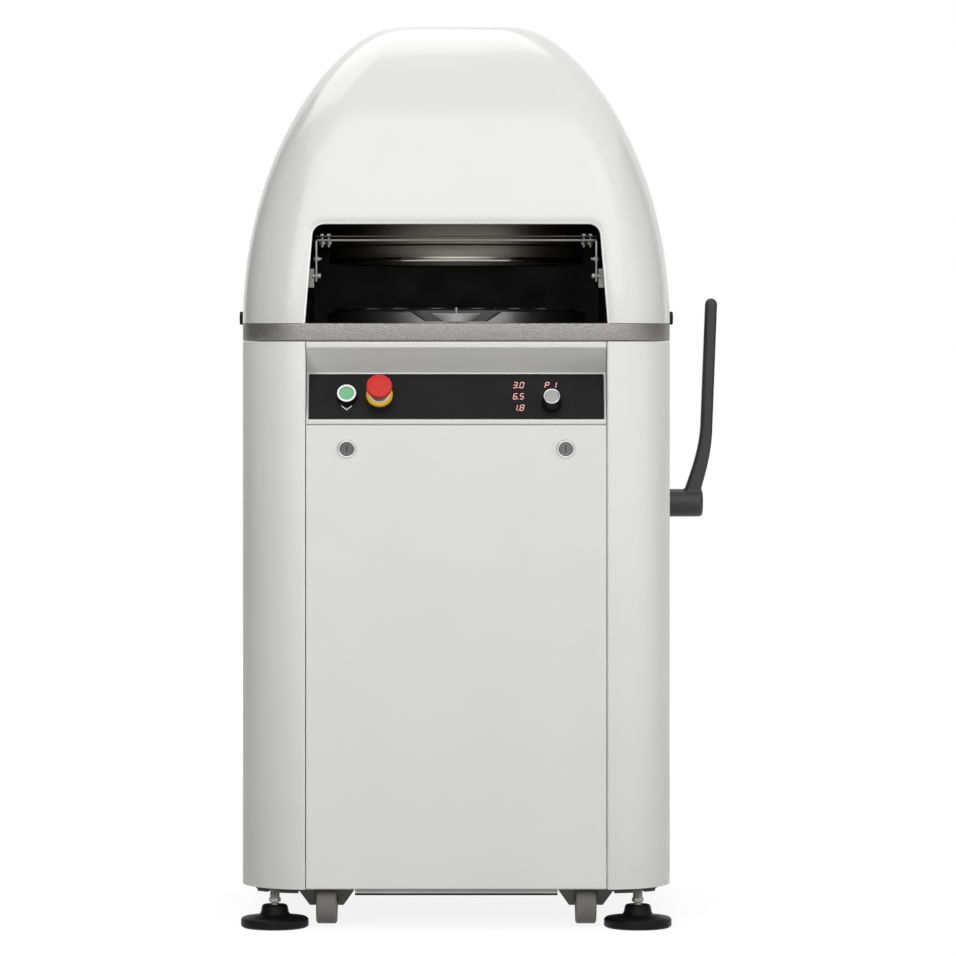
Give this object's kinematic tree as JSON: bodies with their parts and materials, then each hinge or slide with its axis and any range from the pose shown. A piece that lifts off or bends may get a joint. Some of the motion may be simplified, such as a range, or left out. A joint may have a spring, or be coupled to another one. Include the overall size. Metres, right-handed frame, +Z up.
{
  "type": "dough divider rounder",
  "caption": "Floor-standing dough dividing and rounding machine with a bell-shaped hood, open front throat, leaning control console, side lever, levelling feet and castors.",
  "frame": {"origin": "on the floor, midway between the side panels and midway between the front and rear panels", "axes": "+Z up, -Y towards the operator at the front, +X towards the hand lever"},
  "size_m": [0.7533, 0.6787, 1.4],
  "materials": {
    "frame_paint": "satin dark grey paint",
    "white_paint": "satin white powder coat",
    "black_plastic": "matt black",
    "fascia_black": "semi-gloss smoked black",
    "inner_plastic": "matt grey",
    "white_plastic": "gloss white",
    "yellow_plastic": "gloss yellow",
    "chrome_trim": "bright plated",
    "hammertone": "hammertone grey enamel",
    "black_paint": "satin black",
    "grey_casting": "painted grey casting",
    "bright_steel": "turned",
    "stainless": "brushed round",
    "zinc_steel": "zinc plated",
    "motor_paint": "satin blue grey",
    "belt_rubber": "matt",
    "hood_white": "gloss white",
    "lever_black": "satin black powder coat",
    "green_plastic": "translucent green",
    "red_plastic": "gloss red",
    "lock_grey": "dark zinc",
    "cast_aluminium": "turned casting",
    "plate_plastic": "matt black",
    "grip_plastic": "matt light grey",
    "wheel_grey": "matt grey"
  },
  "bodies": {
    "cabinet": {"base_frame": "frame_paint", "corner_posts": "frame_paint", "left_side_panel": "white_paint", "right_side_panel": "white_paint", "front_service_panel": "white_paint", "rear_panel": "white_paint", "console_housing": "white_paint", "cable_gland": "black_plastic", "control_fascia": "fascia_black", "electrical_units": "inner_plastic", "hydraulic_unit": "inner_plastic", "start_button_bezel": "white_plastic", "estop_collar": "yellow_plastic", "lock_bezels": "chrome_trim", "table_ring": "hammertone", "chamber_liner": "black_paint", "rear_column": "grey_casting", "head_bridge": "grey_casting", "valve_block": "grey_casting", "bearing_bed": "grey_casting", "press_cylinder": "bright_steel", "lever_bush": "bright_steel", "guard_brackets": "zinc_steel", "hood_brackets": "zinc_steel", "castor_forks": "zinc_steel", "rounding_motor": "motor_paint", "drive_belt": "belt_rubber"},
    "hood": {"hood_shell": "hood_white"},
    "left_knob": {"left_hood_knob": "black_plastic"},
    "right_knob": {"right_hood_knob": "black_plastic"},
    "lever": {"lever_arm": "lever_black", "lever_shaft": "bright_steel"},
    "spool": {"valve_spool": "chrome_trim"},
    "start": {"start_button": "green_plastic"},
    "estop_slide": {"estop_stem": "chrome_trim"},
    "estop_mushroom": {"estop_head": "red_plastic"},
    "selector": {"selector_knob": "black_plastic", "selector_cap": "chrome_trim"},
    "lock_left": {"left_lock": "lock_grey"},
    "lock_right": {"right_lock": "lock_grey"},
    "bail": {"guard_frame": "zinc_steel"},
    "press": {"press_ram": "chrome_trim", "press_plate": "cast_aluminium", "press_ring": "stainless"},
    "knife": {"knife_block": "bright_steel"},
    "crank": {"main_crank": "bright_steel"},
    "crank_left": {"left_crank": "bright_steel"},
    "crank_right": {"right_crank": "bright_steel"},
    "carrier": {"plate_carrier": "cast_aluminium", "moulding_plate": "plate_plastic", "plate_grip": "grip_plastic"},
    "rotor": {"motor_pulley": "bright_steel"},
    "front_left_castor": {"front_left_wheel": "wheel_grey"},
    "front_left_leveller": {"front_left_foot": "black_plastic"},
    "front_right_castor": {"front_right_wheel": "wheel_grey"},
    "front_right_leveller": {"front_right_foot": "black_plastic"},
    "rear_left_castor": {"rear_left_wheel": "wheel_grey"},
    "rear_left_leveller": {"rear_left_foot": "black_plastic"},
    "rear_right_castor": {"rear_right_wheel": "wheel_grey"},
    "rear_right_leveller": {"rear_right_foot": "black_plastic"}
  },
  "joints": [
    {"name": "hood_lift", "type": "slide", "parent": "cabinet", "child": "hood", "axis": [0, 0, 1], "range_m": [0, 0.45]},
    {"name": "left_knob_turn", "type": "hinge", "parent": "hood", "child": "left_knob", "pos_m": [-0.33, -0.1, 0.937], "axis": [-1, 0, 0], "continuous": true},
    {"name": "right_knob_turn", "type": "hinge", "parent": "hood", "child": "right_knob", "pos_m": [0.33, -0.1, 0.937], "axis": [1, 0, 0], "continuous": true},
    {"name": "lever_pull", "type": "hinge", "parent": "cabinet", "child": "lever", "pos_m": [0.33, -0.04, 0.645], "axis": [1, 0, 0], "range_deg": [0, 55]},
    {"name": "valve_stroke", "type": "slide", "parent": "cabinet", "child": "spool", "axis": [0, 1, 0], "range_m": [0, 0.0149]},
    {"name": "start_press", "type": "slide", "parent": "cabinet", "child": "start", "axis": [0, 0.8919, -0.4522], "range_m": [0, 0.004], "stiffness_N_per_m": 400, "springref_m": -0.002},
    {"name": "estop_press", "type": "slide", "parent": "cabinet", "child": "estop_slide", "axis": [0, 0.8919, -0.4522], "range_m": [0, 0.005]},
    {"name": "estop_twist", "type": "hinge", "parent": "estop_slide", "child": "estop_mushroom", "pos_m": [-0.1175, -0.32519, 0.82826], "axis": [0, -0.8919, 0.4522], "range_deg": [0, 45], "stiffness_Nm_per_rad": 0.05},
    {"name": "selector_turn", "type": "hinge", "parent": "cabinet", "child": "selector", "pos_m": [0.1455, -0.31635, 0.81032], "axis": [0, -0.8919, 0.4522], "continuous": true},
    {"name": "left_lock_turn", "type": "hinge", "parent": "cabinet", "child": "lock_left", "pos_m": [-0.167, -0.31, 0.736], "axis": [0, 1, 0], "range_deg": [0, 90]},
    {"name": "right_lock_turn", "type": "hinge", "parent": "cabinet", "child": "lock_right", "pos_m": [0.167, -0.31, 0.736], "axis": [0, -1, 0], "range_deg": [0, 90]},
    {"name": "bail_swing", "type": "hinge", "parent": "cabinet", "child": "bail", "pos_m": [0, -0.265, 1.001], "axis": [1, 0, 0], "range_deg": [-12, 15], "stiffness_Nm_per_rad": 2},
    {"name": "press_stroke", "type": "slide", "parent": "cabinet", "child": "press", "axis": [0, 0, -1], "range_m": [0, 0.066]},
    {"name": "knife_stroke", "type": "slide", "parent": "press", "child": "knife", "axis": [0, 0, -1], "range_m": [0, 0.027]},
    {"name": "crank_turn", "type": "hinge", "parent": "cabinet", "child": "crank", "pos_m": [0, 0.01, 0.85], "axis": [0, 0, 1], "continuous": true},
    {"name": "left_crank_turn", "type": "hinge", "parent": "cabinet", "child": "crank_left", "pos_m": [-0.15, -0.05, 0.85], "axis": [0, 0, 1], "continuous": true},
    {"name": "right_crank_turn", "type": "hinge", "parent": "cabinet", "child": "crank_right", "pos_m": [0.15, -0.05, 0.85], "axis": [0, 0, 1], "continuous": true},
    {"name": "carrier_turn", "type": "hinge", "parent": "crank", "child": "carrier", "pos_m": [0, 0, 0.9], "axis": [0, 0, 1], "continuous": true},
    {"name": "motor_turn", "type": "hinge", "parent": "cabinet", "child": "rotor", "pos_m": [-0.17, 0.15, 0.75], "axis": [0, 0, 1], "continuous": true},
    {"name": "front_left_wheel_turn", "type": "hinge", "parent": "cabinet", "child": "front_left_castor", "pos_m": [-0.199, -0.255, 0.043], "axis": [1, 0, 0], "continuous": true},
    {"name": "front_right_wheel_turn", "type": "hinge", "parent": "cabinet", "child": "front_right_castor", "pos_m": [0.199, -0.255, 0.043], "axis": [1, 0, 0], "continuous": true},
    {"name": "rear_left_wheel_turn", "type": "hinge", "parent": "cabinet", "child": "rear_left_castor", "pos_m": [-0.199, 0.255, 0.043], "axis": [1, 0, 0], "continuous": true},
    {"name": "rear_right_wheel_turn", "type": "hinge", "parent": "cabinet", "child": "rear_right_castor", "pos_m": [0.199, 0.255, 0.043], "axis": [1, 0, 0], "continuous": true},
    {"name": "front_left_foot_turn", "type": "hinge", "parent": "cabinet", "child": "front_left_leveller", "pos_m": [-0.279, -0.26, 0.05], "axis": [0, 0, 1], "continuous": true},
    {"name": "front_right_foot_turn", "type": "hinge", "parent": "cabinet", "child": "front_right_leveller", "pos_m": [0.279, -0.26, 0.05], "axis": [0, 0, 1], "continuous": true},
    {"name": "rear_left_foot_turn", "type": "hinge", "parent": "cabinet", "child": "rear_left_leveller", "pos_m": [-0.279, 0.26, 0.05], "axis": [0, 0, 1], "continuous": true},
    {"name": "rear_right_foot_turn", "type": "hinge", "parent": "cabinet", "child": "rear_right_leveller", "pos_m": [0.279, 0.26, 0.05], "axis": [0, 0, 1], "continuous": true}
  ],
  "couplings": [
    {"joint": "valve_stroke", "follows": "lever_pull", "m_per_rad": 0.015393},
    {"joint": "carrier_turn", "follows": "crank_turn", "ratio": -1},
    {"joint": "left_crank_turn", "follows": "crank_turn", "ratio": 1},
    {"joint": "right_crank_turn", "follows": "crank_turn", "ratio": 1},
    {"joint": "motor_turn", "follows": "crank_turn", "ratio": 3}
  ]
}
